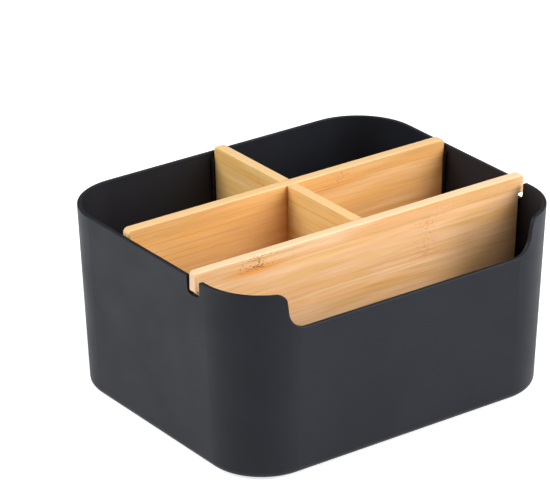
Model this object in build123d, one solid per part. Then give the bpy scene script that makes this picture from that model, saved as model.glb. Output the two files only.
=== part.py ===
from build123d import *
import math
import os

# Desk organizer: a drafted plastic tub with round corners, divided by three loose bamboo boards.
# X runs left to right, Y from front to back, Z up. The origin is below the tub's centre, on the surface that
# the organizer stands on. All lengths are in millimetres and all angles in degrees.

# Tub, outside
tub_width = 192.0  # at the rim
tub_depth = 158.8  # at the rim
tub_height = 94.6
corner_radius = 32.2  # at the rim
draft_angle = 2.47
heel_radius = 4.0  # where the walls meet the base
rim_rounding = 0.7  # outer edge of the rim

# Tub, inside
wall = 2.1
floor_thickness = 2.4
inner_heel = 2.5  # slope between the floor and the walls
rim_bevel = 0.3  # inner edge of the rim

# Underside: a shallow recess inside a foot ring, with a soft pad at each corner
recess_depth = 1.0
foot_ring_width = 5.0
pad_diameter = 14.0
pad_stand = 0.6  # the pads stand this far below the foot ring
pad_edge_margin = 9.0  # from the recess's side to a pad

# Front cut-out
cutout_depth = 18.7  # below the rim
cutout_half_width = 68.9  # at its bottom, before rounding
cutout_flare = 8.0  # lean of each side
cutout_low_radius = 10.0
cutout_top_radius = 5.0

# Boards
board_thickness = 5.3
board_rise = 3.3  # how far the boards stand above the rim
board_rounding = 0.8  # eased long edges
board_top_radius = 2.5  # upper corners of the boards without lugs
board_end_gap = 0.3  # between a board's end and what it faces
board_seat_gap = 0.1  # between a board's foot and the floor
board_heel_gap = 1.5  # by which a board's clipped foot corner clears the tub's inner heel
front_bay = 37.8  # from the front of the rim to the front divider
rear_bay = 58.0  # from the back of the rim to the rear divider
cross_divider_x = 0.0  # middle of its thickness

# Lugs of the front divider, and the side walls' notches round them
lug_height = 9.4
lug_reach = 0.2  # past the tub's rim
lug_top_radius = 2.0
notch_play = 2.2  # on each side of a lug
notch_drop = 2.6  # below a lug
notch_low_radius = 3.0
notch_top_radius = 1.0

# Half-lap joint of the rear divider and the cross divider
lap_side_gap = 0.3
lap_seat_gap = 0.4

# Guide ribs on the walls
rib_width = 1.6
rib_reach = 1.2
rib_gap = 0.3  # between a rib or a rail and a board's face
rib_below_rim = 2.2
rib_lead_in = 2.4  # height of the slope at a rib's top

# Locating rails on the floor
rail_height = 3.0
rail_width = 1.6
rail_length = 24.0
rail_inset = 20.0  # from the wall to a rail

# Places that follow from these sizes
base_z = pad_stand
rim_z = base_z + tub_height
floor_z = base_z + recess_depth + floor_thickness
board_foot_z = floor_z + board_seat_gap
board_top_z = rim_z + board_rise
lug_foot_z = board_top_z - lug_height
lap_z = (board_foot_z + board_top_z) / 2
above_all_z = board_top_z + wall  # cutters that are open at the top reach this high
front_divider_y = front_bay + board_thickness / 2 - tub_depth / 2
rear_divider_y = tub_depth / 2 - rear_bay - board_thickness / 2
draft = math.tan(math.radians(draft_angle))
lean = math.tan(math.radians(cutout_flare))
roundable_share = 0.4  # the part of a wall's thickness that the rounding of one edge may take
rim_round = min(rim_rounding, roundable_share * wall)


def drawn_in(z):
    """How far the drafted wall stands inside its line at the rim, at the height z."""
    return (rim_z - z) * draft


def tub_form(inset, low, high):
    """The tub's outer form, inset all round, between two heights."""
    inward = inset + drawn_in(low)
    outline = RectangleRounded(tub_width - 2 * inward, tub_depth - 2 * inward, corner_radius - inward)
    return extrude(Pos(0, 0, low) * outline, amount=high - low, taper=-draft_angle)


def inner_reach(half_extent, z):
    """From the centre to a wall's inner face, at the height z."""
    return half_extent - wall - drawn_in(z)


def closed_face(plane, corners):
    """A face on a plane from its corners, each given as (across, up, rounding)."""
    points = [corner[:2] for corner in corners]
    radii = [corner[2] for corner in corners]
    return plane * make_face(FilletPolyline(*points, radius=radii, close=True))


def mirrored(half):
    """The corners of a symmetric outline, from its right half listed upwards."""
    return half + [(-across, up, radius) for across, up, radius in reversed(half)]


def above_the_rim():
    """All that lies above the rim and in the front cut-out, whose sides lean out and curve into the rim."""
    side = cutout_half_width + cutout_depth * lean
    shoulder = side + cutout_top_radius
    half = [
        (cutout_half_width, rim_z - cutout_depth, cutout_low_radius),
        (side, rim_z, cutout_top_radius),
        (shoulder, rim_z, 0),
        (shoulder, above_all_z, 0),
    ]
    cutout = extrude(closed_face(Plane.XZ, mirrored(half)), amount=tub_depth)
    height = above_all_z - rim_z
    level = Box(2 * tub_width, 2 * tub_depth, height, align=(Align.CENTER, Align.CENTER, Align.MIN))
    return Pos(0, 0, rim_z) * level + cutout


def side_notches():
    """The U-shaped notch in both side walls, for the front divider's lugs."""
    half_width = board_thickness / 2 + notch_play
    shoulder = half_width + board_thickness
    half = [
        (half_width, lug_foot_z - notch_drop, notch_low_radius),
        (half_width, rim_z, notch_top_radius),
        (shoulder, rim_z, 0),
        (shoulder, above_all_z, 0),
    ]
    both_walls = extrude(closed_face(Plane.YZ, mirrored(half)), amount=tub_width, both=True)
    return Pos(0, front_divider_y, 0) * both_walls


def wall_rib(half_extent):
    """One upright rib on the right-hand wall of a given half extent, with a sloped lead-in at its top."""
    top = rim_z - rib_below_rim
    slope_z = top - rib_lead_in
    root = wall / 2  # the rib grows out of the middle of the wall and of the floor
    foot_z = floor_z - root
    profile = [
        (inner_reach(half_extent, foot_z) + root, foot_z, 0),
        (inner_reach(half_extent, top) + root, top, 0),
        (inner_reach(half_extent, top), top, 0),
        (inner_reach(half_extent, slope_z) - rib_reach, slope_z, 0),
        (inner_reach(half_extent, foot_z) - rib_reach, foot_z, 0),
    ]
    return extrude(closed_face(Plane.XZ, profile), amount=rib_width / 2, both=True)


def guide_ribs():
    """A pair of ribs at each end of the rear divider and at the rear end of the cross divider."""
    offset = board_thickness / 2 + rib_gap + rib_width / 2
    side_rib = wall_rib(tub_width / 2)
    rear_rib = Rot(0, 0, 90) * wall_rib(tub_depth / 2)
    ribs = []
    for side in (-1, 1):
        right = Pos(0, rear_divider_y + side * offset, 0) * side_rib
        ribs += [right, mirror(right, about=Plane.YZ)]
        ribs.append(Pos(cross_divider_x + side * offset, 0, 0) * rear_rib)
    return ribs


def floor_rails():
    """Low rails on the floor that keep the front divider's foot in line."""
    offset = board_thickness / 2 + rib_gap + rail_width / 2
    place = inner_reach(tub_width / 2, floor_z) - rail_inset - rail_length / 2
    root = floor_thickness / 2
    rail = Box(rail_length, rail_width, rail_height + root, align=(Align.CENTER, Align.CENTER, Align.MIN))
    rails = []
    for x in (-place, place):
        for side in (-1, 1):
            rails.append(Pos(x, front_divider_y + side * offset, floor_z - root) * rail)
    return rails


def wall_depth(point):
    """How deep a point lies inside the tub's outer form at the point's own height."""
    inward = drawn_in(point.Z)
    radius = corner_radius - inward
    across = abs(point.X) - (tub_width / 2 - inward - radius)
    along = abs(point.Y) - (tub_depth / 2 - inward - radius)
    return radius - math.hypot(max(across, 0), max(along, 0)) - min(max(across, along), 0)


def rim_edges(tub, depth):
    """The edges that run round the rim and the cut-out, at a depth into the wall from its outer face."""
    lowest = rim_z - cutout_depth - wall
    tolerance = wall / 10
    found = []
    for edge in tub.edges():
        on_the_face = abs(wall_depth(edge @ 0.5) - depth) < tolerance
        if on_the_face and edge.bounding_box().min.Z > lowest:
            found.append(edge)
    return found


def make_tub():
    tub = tub_form(0, base_z, rim_z + wall)  # too high, until it is cut off level
    tub = fillet(tub.edges().group_by(Axis.Z)[0], heel_radius)
    cavity = tub_form(wall, floor_z, above_all_z)
    tub -= chamfer(cavity.edges().group_by(Axis.Z)[0], inner_heel)
    tub -= tub_form(heel_radius + foot_ring_width, base_z, base_z + recess_depth)
    tub -= above_the_rim()
    tub = fillet(rim_edges(tub, 0), rim_round)
    tub = chamfer(rim_edges(tub, wall), rim_bevel)
    tub -= side_notches()
    for addition in guide_ribs() + floor_rails():
        tub += addition
    return tub


def board_end(half_extent, z):
    """From the centre to the end of a board that stands between two walls, at the height z."""
    return inner_reach(half_extent, z) - board_end_gap


def foot_corner(half_extent):
    """A board's lower corner, clipped to clear the heel inside the tub."""
    clip = inner_heel + board_heel_gap
    end = board_end(half_extent, board_foot_z)
    return [(end - clip, board_foot_z, 0), (end, board_foot_z + clip, 0)]


def top_corner(half_extent):
    """The upper corner of a board without lugs."""
    return (board_end(half_extent, board_top_z), board_top_z, board_top_radius)


def make_board(plane, corners):
    """A board about a plane, with its long edges eased on both faces."""
    board = extrude(closed_face(plane, corners), amount=board_thickness / 2, both=True)
    broad_faces = board.faces().sort_by(SortBy.AREA)[-2:]
    return fillet(broad_faces.edges(), board_rounding)


def lap_slot(low, high):
    """The slot of the half-lap between two heights, where the two boards cross."""
    width = board_thickness + 2 * lap_side_gap
    slot = Box(width, width, high - low, align=(Align.CENTER, Align.CENTER, Align.MIN))
    return Pos(cross_divider_x, rear_divider_y, low) * slot


def make_front_divider():
    half_width = tub_width / 2
    lug_end = half_width + lug_reach
    half = [
        *foot_corner(half_width),
        (board_end(half_width, lug_foot_z), lug_foot_z, 0),
        (lug_end, lug_foot_z, 0),
        (lug_end, board_top_z, lug_top_radius),
    ]
    return Pos(0, front_divider_y, 0) * make_board(Plane.XZ, mirrored(half))


def make_rear_divider():
    half = [*foot_corner(tub_width / 2), top_corner(tub_width / 2)]
    board = Pos(0, rear_divider_y, 0) * make_board(Plane.XZ, mirrored(half))
    return board - lap_slot(base_z, lap_z + lap_seat_gap)


def make_cross_divider():
    front = front_divider_y + board_thickness / 2 + board_end_gap
    corners = [
        (front, board_foot_z, 0),
        *foot_corner(tub_depth / 2),
        top_corner(tub_depth / 2),
        (front, board_top_z, 0),
    ]
    board = Pos(cross_divider_x, 0, 0) * make_board(Plane.YZ, corners)
    return board - lap_slot(lap_z, above_all_z)


def make_foot_pads():
    """Four soft pads, by name, seated face to face against the recess."""
    inward = heel_radius + foot_ring_width + drawn_in(base_z) + pad_edge_margin + pad_diameter / 2
    pad = Cylinder(pad_diameter / 2, pad_stand + recess_depth, align=(Align.CENTER, Align.CENTER, Align.MIN))
    x = tub_width / 2 - inward
    y = tub_depth / 2 - inward
    corners = {"front_left": (-x, -y), "front_right": (x, -y), "rear_left": (-x, y), "rear_right": (x, y)}
    return {f"foot_pad_{corner}": Pos(*place) * pad for corner, place in corners.items()}


pieces = {
    "tub": make_tub(),
    "front_divider": make_front_divider(),
    "rear_divider": make_rear_divider(),
    "cross_divider": make_cross_divider(),
    **make_foot_pads(),
}

os.makedirs("parts", exist_ok=True)
for name, piece in pieces.items():
    export_step(piece, f"parts/{name}.step")
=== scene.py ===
import bpy
import math
from mathutils import Matrix, Vector

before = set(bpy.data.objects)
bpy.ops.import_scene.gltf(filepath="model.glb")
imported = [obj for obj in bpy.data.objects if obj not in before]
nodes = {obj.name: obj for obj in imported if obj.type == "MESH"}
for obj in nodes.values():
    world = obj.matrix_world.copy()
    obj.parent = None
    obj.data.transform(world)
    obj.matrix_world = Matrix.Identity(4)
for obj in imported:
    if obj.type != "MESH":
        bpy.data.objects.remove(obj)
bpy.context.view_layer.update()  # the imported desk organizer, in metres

millimetre = 0.001
mathNode = "ShaderNodeMath"
mixNode = "ShaderNodeMix"
noiseNode = "ShaderNodeTexNoise"
rangeNode = "ShaderNodeMapRange"
under, over, mixedColour = 6, 7, 2  # a mix node's sockets for the two colours and for the result
noiseSpread = (0.3, 0.7)  # most of a noise pattern's values lie between these


def toLinear(hexColour):
    # "#rrggbb" in sRGB to linear RGBA
    channels = [int(hexColour[i:i + 2], 16) / 255 for i in (1, 3, 5)]
    return [c / 12.92 if c <= 0.04045 else ((c + 0.055) / 1.055) ** 2.4 for c in channels] + [1.0]


def addNode(tree, kind, inputs=None, stops=None, **settings):
    # One node with its settings, its two ramp stops and its inputs. An input is a value, a hex colour,
    # a socket or another node.
    node = tree.nodes.new(kind)
    for name, value in settings.items():
        setattr(node, name, value)
    for i, (position, colour) in enumerate(stops or []):
        node.color_ramp.elements[i].position = position
        node.color_ramp.elements[i].color = toLinear(colour)
    for socket, value in (inputs or {}).items():
        if isinstance(value, bpy.types.Node):
            value = value.outputs[mixedColour if value.bl_idname == mixNode else 0]
        if isinstance(value, bpy.types.NodeSocket):
            tree.links.new(value, node.inputs[socket])
        else:
            node.inputs[socket].default_value = toLinear(value) if isinstance(value, str) else value
    return node


def startMaterial(name):
    material = bpy.data.materials.new(name)
    material.use_nodes = True
    material.node_tree.nodes.clear()
    return material, material.node_tree


def placeOnPiece(tree):
    # The object's own coordinates in millimetres
    metres = addNode(tree, "ShaderNodeTexCoord").outputs["Object"]
    return addNode(tree, "ShaderNodeVectorMath", {0: metres, "Scale": 1 / millimetre}, operation="SCALE")


# Tub: ABS, injection moulded in a spark-eroded tool. The fine grain spreads the gloss wide, so the eye sees
# matt charcoal that lightens where it is seen at a flat angle, and the inside stays nearly black.

tub = {
    "colour": "#15181f",
    "paleColour": "#1a1d25",  # the slight cloudiness of a dark moulding
    "cloudSize": 45.0,  # mm
    "cloudSpread": (0.35, 0.65),  # noise values where the colour and the pale colour are full
    "grainSize": 0.6,  # mm; the real grain is about 0.1 mm, drawn as coarse as it needs to show
    "grainHeight": 0.012,  # mm
    "roughness": (0.46, 0.54),
    "handlingSize": 18.0,  # mm, patches that hands have smoothed
    "ior": 1.53,
    "specular": 0.18,  # below the usual 0.5, because the grain traps part of the gloss
}


def mouldedAbs(piece):
    material, tree = startMaterial("matt charcoal moulded ABS")
    place = placeOnPiece(tree)
    cloud = addNode(tree, noiseNode, {"Vector": place, "Scale": 1 / piece["cloudSize"], "Detail": 3})
    shades = zip(piece["cloudSpread"], (piece["colour"], piece["paleColour"]))
    patches = addNode(tree, noiseNode, {"Vector": place, "Scale": 1 / piece["handlingSize"], "Detail": 4})
    low, high = noiseSpread
    smooth, rough = piece["roughness"]
    wear = {"Value": patches, "From Min": low, "From Max": high, "To Min": smooth, "To Max": rough}
    grain = addNode(tree, noiseNode, {"Vector": place, "Scale": 1 / piece["grainSize"], "Detail": 2})
    height = piece["grainHeight"] * millimetre
    finish = {
        "Base Color": addNode(tree, "ShaderNodeValToRGB", {"Fac": cloud}, stops=shades),
        "Roughness": addNode(tree, rangeNode, wear),
        "Normal": addNode(tree, "ShaderNodeBump", {"Height": grain, "Distance": height, "Strength": 1.0}),
        "IOR": piece["ior"],
        "Specular IOR Level": piece["specular"],
    }
    plastic = addNode(tree, "ShaderNodeBsdfPrincipled", finish)
    addNode(tree, "ShaderNodeOutputMaterial", {"Surface": plastic})
    return material


nodes["tub"].data.materials[0] = mouldedAbs(tub)
print("tub: matt moulded plastic")


# Dividers: bamboo strips glued edge to edge, planed and lacquered. The eye sees fine long fibres in soft
# peach and gold, pale sanded edges, and a few brown speckles with an orange stain where the cane had a joint.

board = {
    "stripWidth": 20.0,  # mm
    "seamTop": 91.5,  # mm above the desk, the highest seam
    "stripShift": 53.7,  # mm along the cane, from one strip's pattern to the next
    "boardShift": 17.0,  # mm across the cane, from one board's pattern to the next
    "stripTones": (0.97, 1.03),  # the darkest and the lightest strip
    "toneSpread": (0.36, 0.64),  # pattern values where the deep and the pale tone are full
    "goldColour": "#efb562",
    "fibreColour": "#c67f3a",
    "stainColour": "#f09f48",
    "jointColour": "#9c5214",
    "patterns": {
        # name: (length in mm along the board, width in mm, detail)
        "tones": (60.0, 6.0, 2),
        "gold": (45.0, 4.0, 2),
        "fibres": (30.0, 1.0, 2),  # real bundles are about 0.4 mm wide, drawn as coarse as they need to show
        "lines": (80.0, 0.8, 1),
        "speckles": (1.5, 0.7, 1),
        "ragged": (7.0, 3.0, 1),
    },
    # share of a colour: (where it starts, where it is full, full share)
    "goldShare": (0.42, 0.66, 0.55),  # pattern values
    "fibreShare": (0.48, 0.75, 0.26),
    "lineShare": (0.60, 0.72, 0.20),
    "seamShare": (0.6, 0.3, 0.16),  # mm from the glue line, each way
    "stainShare": (26.0, 2.0, 0.85),  # mm from the joint along the seam, each way
    "stainWidth": (3.0, 0.2),  # mm from the seam, each way, where it starts and where it is full
    "edgeShare": (0.9, 0.3, 0.85),  # sideways part of the normal
    "jointSpacing": 230.0,  # mm between a cane's joints
    "jointReach": 15.0,  # mm along the board, each way
    "jointWander": 8.0,  # mm that a joint's outline wanders along the board
    "jointFading": 2.0,  # the strength is divided by 1 + this for each strip further down
    "speckleLevels": (0.70, 0.49),  # pattern values where speckles start, at the reach and at the joint
    "speckleRise": 0.008,  # added to that for each mm from the seam
    "speckleShare": (0.0, 0.08, 0.8),  # pattern value above the start
    "roughness": (0.36, 0.50),
    "reliefHeight": 0.03,  # mm
    "ior": 1.5,
    "specular": 0.5,
}

boards = {
    "front_divider": {
        "number": 1,  # sets its pattern apart
        "along": "X",  # axis of the fibres
        "firstJoint": -62.0,  # mm along the board, in the top strip
        "jointStep": 98.5,  # mm from there to the joint in the next strip
        "jointStrength": 1.0,
        "deepTone": "#f7bd86",
        "paleTone": "#ffd1a1",
        "edgeTone": "#e6c49f",
    },
    "rear_divider": {
        "number": 2,
        "along": "X",
        "firstJoint": 30.0,
        "jointStep": 81.0,
        "jointStrength": 0.3,
        "deepTone": "#e0aa68",
        "paleTone": "#edbd82",
        "edgeTone": "#dcb784",
    },
    "cross_divider": {
        "number": 3,
        "along": "Y",
        "firstJoint": 40.0,
        "jointStep": 67.0,
        "jointStrength": 0.3,
        "deepTone": "#ecc074",
        "paleTone": "#f4cf8c",
        "edgeTone": "#dcb784",
    },
}


def planedBamboo(piece, name):
    material, tree = startMaterial("planed bamboo " + name)
    axes = addNode(tree, "ShaderNodeSeparateXYZ", {0: placeOnPiece(tree)}).outputs
    along, up = axes[piece["along"]], axes["Z"]
    across = "Y" if piece["along"] == "X" else "X"

    # Which strip a point is in, counted down from the top one, and how far it is from the nearest seam
    width = piece["stripWidth"]
    below = addNode(tree, mathNode, {0: piece["seamTop"] + width, 1: up}, operation="SUBTRACT")
    rows = addNode(tree, mathNode, {0: below, 1: width}, operation="DIVIDE")
    strip = addNode(tree, mathNode, {0: rows}, operation="FLOOR")
    gap = addNode(tree, mathNode, {0: rows, 1: 0.5}, operation="PINGPONG")
    gap = addNode(tree, mathNode, {0: gap, 1: width}, operation="MULTIPLY")

    # The cane's own coordinates: each strip is cut from another length of cane
    length = addNode(tree, mathNode, {0: strip, 1: piece["stripShift"], 2: along}, operation="MULTIPLY_ADD")
    depth = addNode(tree, mathNode, {0: axes[across], 1: piece["number"] * piece["boardShift"]})
    cane = addNode(tree, "ShaderNodeCombineXYZ", {"X": length, "Y": depth, "Z": up})
    pattern = {}
    for kind, (size, thickness, detail) in piece["patterns"].items():
        scale = (1 / size, 1 / thickness, 1 / thickness)
        scaled = addNode(tree, "ShaderNodeVectorMath", {0: cane, 1: scale}, operation="MULTIPLY")
        pattern[kind] = addNode(tree, noiseNode, {"Vector": scaled, "Scale": 1.0, "Detail": detail})

    # Wood tone, golden patches, fibres and a few darker lines
    tones = zip(piece["toneSpread"], (piece["deepTone"], piece["paleTone"]))
    wood = addNode(tree, "ShaderNodeValToRGB", {"Fac": pattern["tones"]}, stops=tones)
    for kind, share, colour in (
        ("gold", "goldShare", "goldColour"),
        ("fibres", "fibreShare", "fibreColour"),
        ("lines", "lineShare", "jointColour"),
    ):
        start, full, most = piece[share]
        amount = {"Value": pattern[kind], "From Min": start, "From Max": full, "To Max": most}
        mixed = {"Factor": addNode(tree, rangeNode, amount), under: wood, over: piece[colour]}
        wood = addNode(tree, mixNode, mixed, data_type="RGBA")

    # Each strip a little lighter or darker
    chance = addNode(tree, mathNode, {0: strip, 1: piece["number"]})
    chance = addNode(tree, "ShaderNodeTexWhiteNoise", {"W": chance}, noise_dimensions="1D")
    dark, light = piece["stripTones"]
    tone = addNode(tree, rangeNode, {"Value": chance, "To Min": dark, "To Max": light})
    wood = addNode(tree, "ShaderNodeVectorMath", {0: wood, "Scale": tone}, operation="SCALE")

    def findJoint(index):
        # How far a point is, along the board, from a strip's joint, and how strongly that joint shows
        half, wander = piece["jointSpacing"] / 2, piece["jointWander"]
        stepped = {0: index, 1: -piece["jointStep"], 2: along}
        offset = addNode(tree, mathNode, stepped, operation="MULTIPLY_ADD")
        offset = addNode(tree, mathNode, {0: offset, 1: piece["firstJoint"]}, operation="SUBTRACT")
        offset = addNode(tree, mathNode, {0: offset, 1: half, 2: -half}, operation="WRAP")
        offset = addNode(tree, mathNode, {0: offset}, operation="ABSOLUTE")
        ragged = {0: pattern["ragged"], 1: wander, 2: offset}
        offset = addNode(tree, mathNode, ragged, operation="MULTIPLY_ADD")
        offset = addNode(tree, mathNode, {0: offset, 1: wander / 2}, operation="SUBTRACT")
        fainter = {0: index, 1: piece["jointFading"], 2: 1.0}
        fainter = addNode(tree, mathNode, fainter, operation="MULTIPLY_ADD")
        return offset, addNode(tree, mathNode, {0: piece["jointStrength"], 1: fainter}, operation="DIVIDE")

    # The orange stain along the seam, from the joint in the strip above it
    above = addNode(tree, mathNode, {0: rows}, operation="ROUND")
    above = addNode(tree, mathNode, {0: above, 1: 1.0}, operation="SUBTRACT")
    offset, strength = findJoint(above)
    start, full, most = piece["stainShare"]
    amount = {"Value": offset, "From Min": start, "From Max": full, "To Max": most}
    stain = addNode(tree, rangeNode, amount, interpolation_type="SMOOTHSTEP")
    start, full = piece["stainWidth"]
    amount = {"Value": gap, "From Min": start, "From Max": full}
    band = addNode(tree, rangeNode, amount, interpolation_type="SMOOTHSTEP")
    for part in (band, strength):
        stain = addNode(tree, mathNode, {0: stain, 1: part}, operation="MULTIPLY")
    mixed = {"Factor": stain, under: wood, over: piece["stainColour"]}
    wood = addNode(tree, mixNode, mixed, data_type="RGBA")

    # The glue line
    start, full, most = piece["seamShare"]
    amount = {"Value": gap, "From Min": start, "From Max": full, "To Max": most}
    mixed = {"Factor": addNode(tree, rangeNode, amount), under: wood, over: piece["fibreColour"]}
    wood = addNode(tree, mixNode, mixed, data_type="RGBA")

    # The long edges and ends are sanded paler
    normal = addNode(tree, "ShaderNodeTexCoord").outputs["Normal"]
    facing = addNode(tree, "ShaderNodeSeparateXYZ", {0: normal}).outputs[across]
    facing = addNode(tree, mathNode, {0: facing}, operation="ABSOLUTE")
    start, full, most = piece["edgeShare"]
    amount = {"Value": facing, "From Min": start, "From Max": full, "To Max": most}
    edge = addNode(tree, rangeNode, amount)
    mixed = {"Factor": edge, under: wood, over: piece["edgeTone"]}
    wood = addNode(tree, mixNode, mixed, data_type="RGBA")

    # Speckles, thickest at the strip's own joint and near the seam, and few on the edges
    offset, strength = findJoint(strip)
    reach = piece["jointReach"]
    rare, dense = piece["speckleLevels"]
    amount = {"Value": offset, "From Min": reach, "From Max": 0.0, "To Min": rare, "To Max": dense}
    level = addNode(tree, rangeNode, amount)
    level = addNode(tree, mathNode, {0: gap, 1: piece["speckleRise"], 2: level}, operation="MULTIPLY_ADD")
    dots = addNode(tree, mathNode, {0: pattern["speckles"], 1: level}, operation="SUBTRACT")
    start, full, most = piece["speckleShare"]
    amount = {"Value": dots, "From Min": start, "From Max": full, "To Max": most}
    dots = addNode(tree, rangeNode, amount)
    face = addNode(tree, mathNode, {0: 1.0, 1: edge}, operation="SUBTRACT")
    for part in (strength, face):
        dots = addNode(tree, mathNode, {0: dots, 1: part}, operation="MULTIPLY")
    mixed = {"Factor": dots, under: wood, over: piece["jointColour"]}
    wood = addNode(tree, mixNode, mixed, data_type="RGBA")

    # Fibres stand a little lower and shine a little less
    low, high = noiseSpread
    smooth, rough = piece["roughness"]
    gloss = {"Value": pattern["fibres"], "From Min": low, "From Max": high, "To Min": smooth, "To Max": rough}
    relief = {"Height": pattern["fibres"], "Distance": piece["reliefHeight"] * millimetre, "Strength": 1.0}
    finish = {
        "Base Color": wood,
        "Roughness": addNode(tree, rangeNode, gloss),
        "Normal": addNode(tree, "ShaderNodeBump", relief, invert=True),
        "IOR": piece["ior"],
        "Specular IOR Level": piece["specular"],
    }
    lacquered = addNode(tree, "ShaderNodeBsdfPrincipled", finish)
    addNode(tree, "ShaderNodeOutputMaterial", {"Surface": lacquered})
    return material


for name, own in boards.items():
    nodes[name].data.materials[0] = planedBamboo({**board, **own}, name.replace("_", " "))
print("dividers: planed bamboo")


# Foot pads: silicone rubber, die cut from sheet, so they look dull and faintly dusty

pad = {
    "colour": "#2a2b2d",
    "paleColour": "#38393c",
    "grainSize": 0.6,  # mm
    "grainHeight": 0.03,  # mm
    "roughness": 0.75,
    "ior": 1.41,
}


def cutRubber(piece):
    material, tree = startMaterial("die-cut silicone rubber")
    size = 1 / piece["grainSize"]
    grain = addNode(tree, noiseNode, {"Vector": placeOnPiece(tree), "Scale": size, "Detail": 3})
    shades = zip(noiseSpread, (piece["colour"], piece["paleColour"]))
    height = piece["grainHeight"] * millimetre
    finish = {
        "Base Color": addNode(tree, "ShaderNodeValToRGB", {"Fac": grain}, stops=shades),
        "Roughness": piece["roughness"],
        "Normal": addNode(tree, "ShaderNodeBump", {"Height": grain, "Distance": height, "Strength": 1.0}),
        "IOR": piece["ior"],
    }
    rubber = addNode(tree, "ShaderNodeBsdfPrincipled", finish)
    addNode(tree, "ShaderNodeOutputMaterial", {"Surface": rubber})
    return material


padRubber = cutRubber(pad)
for name, node in nodes.items():
    if name.startswith("foot_pad_"):
        node.data.materials[0] = padRubber
print("foot pads: rubber")


# Studio: a pale floor that runs out of view, soft lamps, and white walls. Gloss shows the ceiling dark.

studio = {
    "floorSize": 12.0,  # m
    "floorDrop": 0.0001,  # m below the pads, so that no two faces lie in one plane
    "floorColour": "#c4c4c4",
    "floorGlow": 0.75,  # what the floor adds where it is seen, directly or in gloss
    "wallLevel": 1.0,
    "worldLevel": 0.1,  # the light that the surroundings give
    "ceilingLevel": 0.0,  # as gloss shows it
    "ceilingStarts": (0.10, 0.40),  # upward part of the direction, from walls to ceiling
}


def addSeenRays(tree):
    # 1 for rays that show the background: seen straight, in gloss or through something clear
    rays = addNode(tree, "ShaderNodeLightPath").outputs
    seen = addNode(tree, mathNode, {0: rays["Is Camera Ray"], 1: rays["Is Glossy Ray"]})
    return addNode(tree, mathNode, {0: seen, 1: rays["Is Transmission Ray"]}, use_clamp=True)


def makeFloor(setting):
    half, level = setting["floorSize"] / 2, -setting["floorDrop"]
    corners = [(-half, -half, level), (half, -half, level), (half, half, level), (-half, half, level)]
    mesh = bpy.data.meshes.new("floor")
    mesh.from_pydata(corners, [], [(0, 1, 2, 3)])
    floor = bpy.data.objects.new("floor", mesh)
    bpy.context.scene.collection.objects.link(floor)

    # Matt paper: it shows as white, and keeps the soft shadow
    material, tree = startMaterial("white paper sweep")
    paper = addNode(tree, "ShaderNodeBsdfDiffuse", {"Color": setting["floorColour"]})
    shine = addNode(tree, mathNode, {0: addSeenRays(tree), 1: setting["floorGlow"]}, operation="MULTIPLY")
    glow = addNode(tree, "ShaderNodeEmission", {"Strength": shine})
    both = addNode(tree, "ShaderNodeAddShader", {0: paper, 1: glow})
    addNode(tree, "ShaderNodeOutputMaterial", {"Surface": both})
    mesh.materials.append(material)


def makeWorld(setting):
    world = bpy.data.worlds.new("studio")
    bpy.context.scene.world = world
    world.use_nodes = True
    tree = world.node_tree
    tree.nodes.clear()
    glossy = addNode(tree, "ShaderNodeLightPath").outputs["Is Glossy Ray"]
    direction = addNode(tree, "ShaderNodeTexCoord").outputs["Generated"]
    height = addNode(tree, "ShaderNodeSeparateXYZ", {0: direction}).outputs["Z"]
    wall, ceiling = setting["wallLevel"], setting["ceilingLevel"]
    low, high = setting["ceilingStarts"]
    fade = {"Value": height, "From Min": low, "From Max": high, "To Min": wall, "To Max": ceiling}
    room = addNode(tree, rangeNode, fade)
    shown = addNode(tree, mixNode, {"Factor": glossy, "A": wall, "B": room}).outputs["Result"]
    seen = {"Factor": addSeenRays(tree), "A": setting["worldLevel"], "B": shown}
    level = addNode(tree, mixNode, seen).outputs["Result"]
    sky = addNode(tree, "ShaderNodeBackground", {"Color": "#ffffff", "Strength": level})
    addNode(tree, "ShaderNodeOutputWorld", {"Surface": sky})


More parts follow.
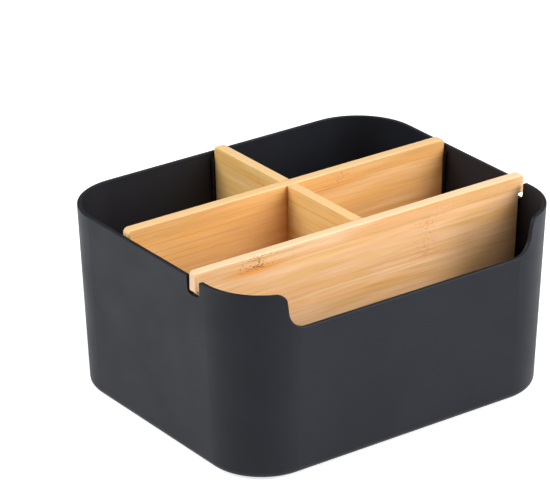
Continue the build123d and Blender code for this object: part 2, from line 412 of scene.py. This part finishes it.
lamps = {
    # name: direction to the lamp, distance in m, size in m, power in W
    "front right": ((0.60, -0.80, 0.60), 1.6, 1.0, 25.0),
    "high front": ((0.45, -0.89, 1.73), 1.6, 1.0, 11.5),
    "upper left": ((-0.91, 0.40, 0.80), 1.6, 1.0, 23.2),
}


def makeLamp(name, direction, distance, size, power):
    light = bpy.data.lights.new(name, "AREA")
    light.shape = "SQUARE"
    light.size = size
    light.energy = power
    lamp = bpy.data.objects.new(name, light)
    bpy.context.scene.collection.objects.link(lamp)
    towards = Vector(direction).normalized()
    aim = towards.to_track_quat("Z", "Y").to_matrix().to_4x4()
    lamp.matrix_world = Matrix.Translation(towards * distance) @ aim


makeFloor(studio)
makeWorld(studio)
for name, values in lamps.items():
    makeLamp(name, *values)
print("studio: floor, world and lamps")


# Camera: a long lens from the front left, a little above the rim

camera = {
    "azimuth": -35.92,  # degrees; 0 looks along +Y
    "elevation": 24.16,
    "roll": -0.315,
    "target": (-21.61, 0.0, 80.45),  # mm
    "distance": 1651.1,  # mm
    "focalLength": 228.4,  # mm
    "sensor": 36.0,  # mm
    "clipEnd": 50.0,  # m
}


def makeCamera(setting):
    azimuth, elevation = math.radians(setting["azimuth"]), math.radians(setting["elevation"])
    flat = math.cos(elevation)
    back = Vector((math.sin(azimuth) * flat, -math.cos(azimuth) * flat, math.sin(elevation)))
    right = Vector((math.cos(azimuth), math.sin(azimuth), 0))
    turn = Matrix((right, back.cross(right), back)).transposed().to_4x4()
    turn = turn @ Matrix.Rotation(math.radians(setting["roll"]), 4, "Z")
    place = (Vector(setting["target"]) + back * setting["distance"]) * millimetre
    data = bpy.data.cameras.new("camera")
    data.sensor_width = setting["sensor"]
    data.sensor_fit = "HORIZONTAL"
    data.lens = setting["focalLength"]
    data.clip_end = setting["clipEnd"]
    stand = bpy.data.objects.new("camera", data)
    stand.matrix_world = Matrix.Translation(place) @ turn
    bpy.context.scene.collection.objects.link(stand)
    bpy.context.scene.camera = stand


makeCamera(camera)
bpy.context.scene.view_settings.view_transform = "Standard"
print("camera set")
